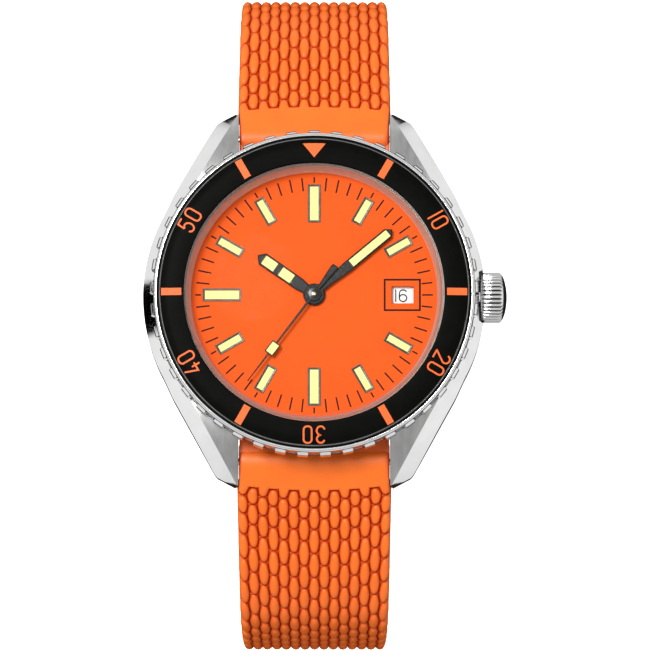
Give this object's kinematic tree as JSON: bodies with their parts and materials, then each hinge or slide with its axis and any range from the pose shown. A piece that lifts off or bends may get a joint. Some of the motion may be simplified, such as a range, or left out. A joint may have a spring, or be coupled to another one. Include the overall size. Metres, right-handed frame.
{
  "type": "dive watch",
  "caption": "Round-cased dive watch with toothed rotating bezel, orange dial, screw-down crown and an open two-piece moulded rubber strap with pin buckle.",
  "frame": {"origin": "on the axis of the hands, at the surface the strap stands on", "axes": "+Z out of the dial, +Y towards twelve o'clock, +X towards the crown"},
  "size_m": [0.0455, 0.0835, 0.0676],
  "materials": {
    "steel_brushed": "brushed, with polished bevels",
    "steel_polished": "polished",
    "insert_black": "high gloss black with printed orange scale",
    "sapphire": "polished, domed",
    "flange_orange": "satin, reflects the dial",
    "dial_orange": "matte lacquer with printed black scale",
    "hand_black": "satin black with pale luminous infill",
    "date_white": "matte white with dark numerals",
    "brass_movement": "gilt",
    "rhodium": "fine grained",
    "blued_steel": "blued",
    "seal_black": "matte",
    "plastic_white": "matte",
    "rubber_orange": "satin moulded rubber"
  },
  "bodies": {
    "case": {"case_middle": "steel_brushed", "case_back": "steel_brushed", "case_back_gasket": "seal_black", "crown_tube": "steel_polished", "crystal": "sapphire", "crystal_gasket": "plastic_white", "rehaut_ring": "flange_orange", "dial": "dial_orange", "movement_ring": "plastic_white", "mainplate": "brass_movement", "train_bridge": "rhodium", "balance_cock": "rhodium", "rotor_bearing": "steel_polished", "casing_clamp_left": "rhodium", "casing_clamp_right": "rhodium", "clamp_screw_left": "blued_steel", "clamp_screw_right": "blued_steel", "bezel_retaining_spring": "steel_polished", "bezel_click_spring": "steel_polished", "spring_bar_12": "steel_polished", "spring_bar_6": "steel_polished"},
    "bezel": {"bezel_ring": "steel_polished", "bezel_insert": "insert_black"},
    "minute": {"minute_hand": "hand_black", "cannon_pinion": "steel_polished", "centre_wheel": "brass_movement"},
    "hour": {"hour_hand": "hand_black", "hour_wheel": "brass_movement"},
    "motion_wheel": {"minute_wheel": "brass_movement"},
    "seconds": {"seconds_hand": "hand_black", "fourth_wheel": "brass_movement"},
    "third": {"third_wheel": "brass_movement"},
    "escape": {"escape_wheel": "steel_polished"},
    "pallet": {"pallet_fork": "steel_polished"},
    "balance": {"balance_wheel": "brass_movement", "hairspring": "blued_steel"},
    "barrel": {"mainspring_barrel": "brass_movement"},
    "rotor": {"oscillating_weight": "rhodium"},
    "date": {"date_disc": "date_white"},
    "setting": {"setting_lever": "rhodium"},
    "crown": {"crown": "steel_brushed", "crown_gasket": "seal_black", "winding_stem": "steel_polished", "winding_pinion": "steel_polished"},
    "strap_12": {"strap_buckle_half": "rubber_orange", "keeper_fixed": "rubber_orange", "buckle_bar": "steel_polished"},
    "buckle": {"buckle_frame": "steel_polished"},
    "tongue": {"buckle_tongue": "steel_polished"},
    "keeper": {"keeper_free": "rubber_orange"},
    "strap_6": {"strap_tail_half": "rubber_orange"}
  },
  "joints": [
    {"name": "bezel_turn", "type": "hinge", "parent": "case", "child": "bezel", "pos_m": [0, 0, 0.054], "axis": [0, 0, 1], "continuous": true},
    {"name": "minute_hand_turn", "type": "hinge", "parent": "case", "child": "minute", "pos_m": [0, 0, 0.054], "axis": [0, 0, -1], "continuous": true},
    {"name": "hour_hand_turn", "type": "hinge", "parent": "case", "child": "hour", "pos_m": [0, 0, 0.054], "axis": [0, 0, -1], "continuous": true},
    {"name": "minute_wheel_turn", "type": "hinge", "parent": "case", "child": "motion_wheel", "pos_m": [0.00238, -0.00166, 0.054], "axis": [0, 0, -1], "continuous": true},
    {"name": "seconds_hand_turn", "type": "hinge", "parent": "case", "child": "seconds", "pos_m": [0, 0, 0.054], "axis": [0, 0, -1], "continuous": true},
    {"name": "third_wheel_turn", "type": "hinge", "parent": "case", "child": "third", "pos_m": [0.0018, 0.00312, 0.054], "axis": [0, 0, -1], "continuous": true},
    {"name": "escape_wheel_turn", "type": "hinge", "parent": "case", "child": "escape", "pos_m": [0.00067, -0.00381, 0.054], "axis": [0, 0, -1], "continuous": true},
    {"name": "barrel_turn", "type": "hinge", "parent": "case", "child": "barrel", "pos_m": [-0.00533, 0.00194, 0.054], "axis": [0, 0, -1], "continuous": true},
    {"name": "pallet_fork_rock", "type": "hinge", "parent": "case", "child": "pallet", "pos_m": [0.00109, -0.00615, 0.054], "axis": [0, 0, 1], "range_deg": [-6, 6]},
    {"name": "balance_swing", "type": "hinge", "parent": "case", "child": "balance", "pos_m": [0.00147, -0.00832, 0.054], "axis": [0, 0, 1], "range_deg": [-150, 150]},
    {"name": "rotor_turn", "type": "hinge", "parent": "case", "child": "rotor", "pos_m": [0, 0, 0.054], "axis": [0, 0, 1], "continuous": true},
    {"name": "date_disc_turn", "type": "hinge", "parent": "case", "child": "date", "pos_m": [0, 0, 0.054], "axis": [0, 0, 1], "continuous": true},
    {"name": "crown_pull", "type": "slide", "parent": "case", "child": "setting", "axis": [1, 0, 0], "range_m": [0, 0.0019]},
    {"name": "crown_turn", "type": "hinge", "parent": "setting", "child": "crown", "pos_m": [0.0208, 0, 0.0587], "axis": [1, 0, 0], "continuous": true},
    {"name": "strap_12_hinge", "type": "hinge", "parent": "case", "child": "strap_12", "pos_m": [0, 0.0204, 0.0564], "axis": [1, 0, 0], "range_deg": [0, 55]},
    {"name": "strap_6_hinge", "type": "hinge", "parent": "case", "child": "strap_6", "pos_m": [0, -0.0204, 0.0564], "axis": [-1, 0, 0], "range_deg": [0, 55]},
    {"name": "buckle_frame_turn", "type": "hinge", "parent": "strap_12", "child": "buckle", "pos_m": [0, 0.0182, 0.0013], "axis": [-1, 0, 0], "range_deg": [0, 75]},
    {"name": "buckle_tongue_turn", "type": "hinge", "parent": "buckle", "child": "tongue", "pos_m": [0, 0.0182, 0.0013], "axis": [-1, 0, 0], "range_deg": [0, 40]},
    {"name": "keeper_slide", "type": "slide", "parent": "strap_12", "child": "keeper", "axis": [0, -0.4839, -0.8751], "range_m": [-0.002, 0.002]}
  ],
  "couplings": [
    {"joint": "hour_hand_turn", "follows": "minute_hand_turn", "ratio": 0.083333},
    {"joint": "minute_wheel_turn", "follows": "minute_hand_turn", "ratio": -0.33333},
    {"joint": "seconds_hand_turn", "follows": "minute_hand_turn", "ratio": 60},
    {"joint": "third_wheel_turn", "follows": "minute_hand_turn", "ratio": -8},
    {"joint": "escape_wheel_turn", "follows": "minute_hand_turn", "ratio": -720},
    {"joint": "barrel_turn", "follows": "minute_hand_turn", "ratio": -0.16667}
  ]
}
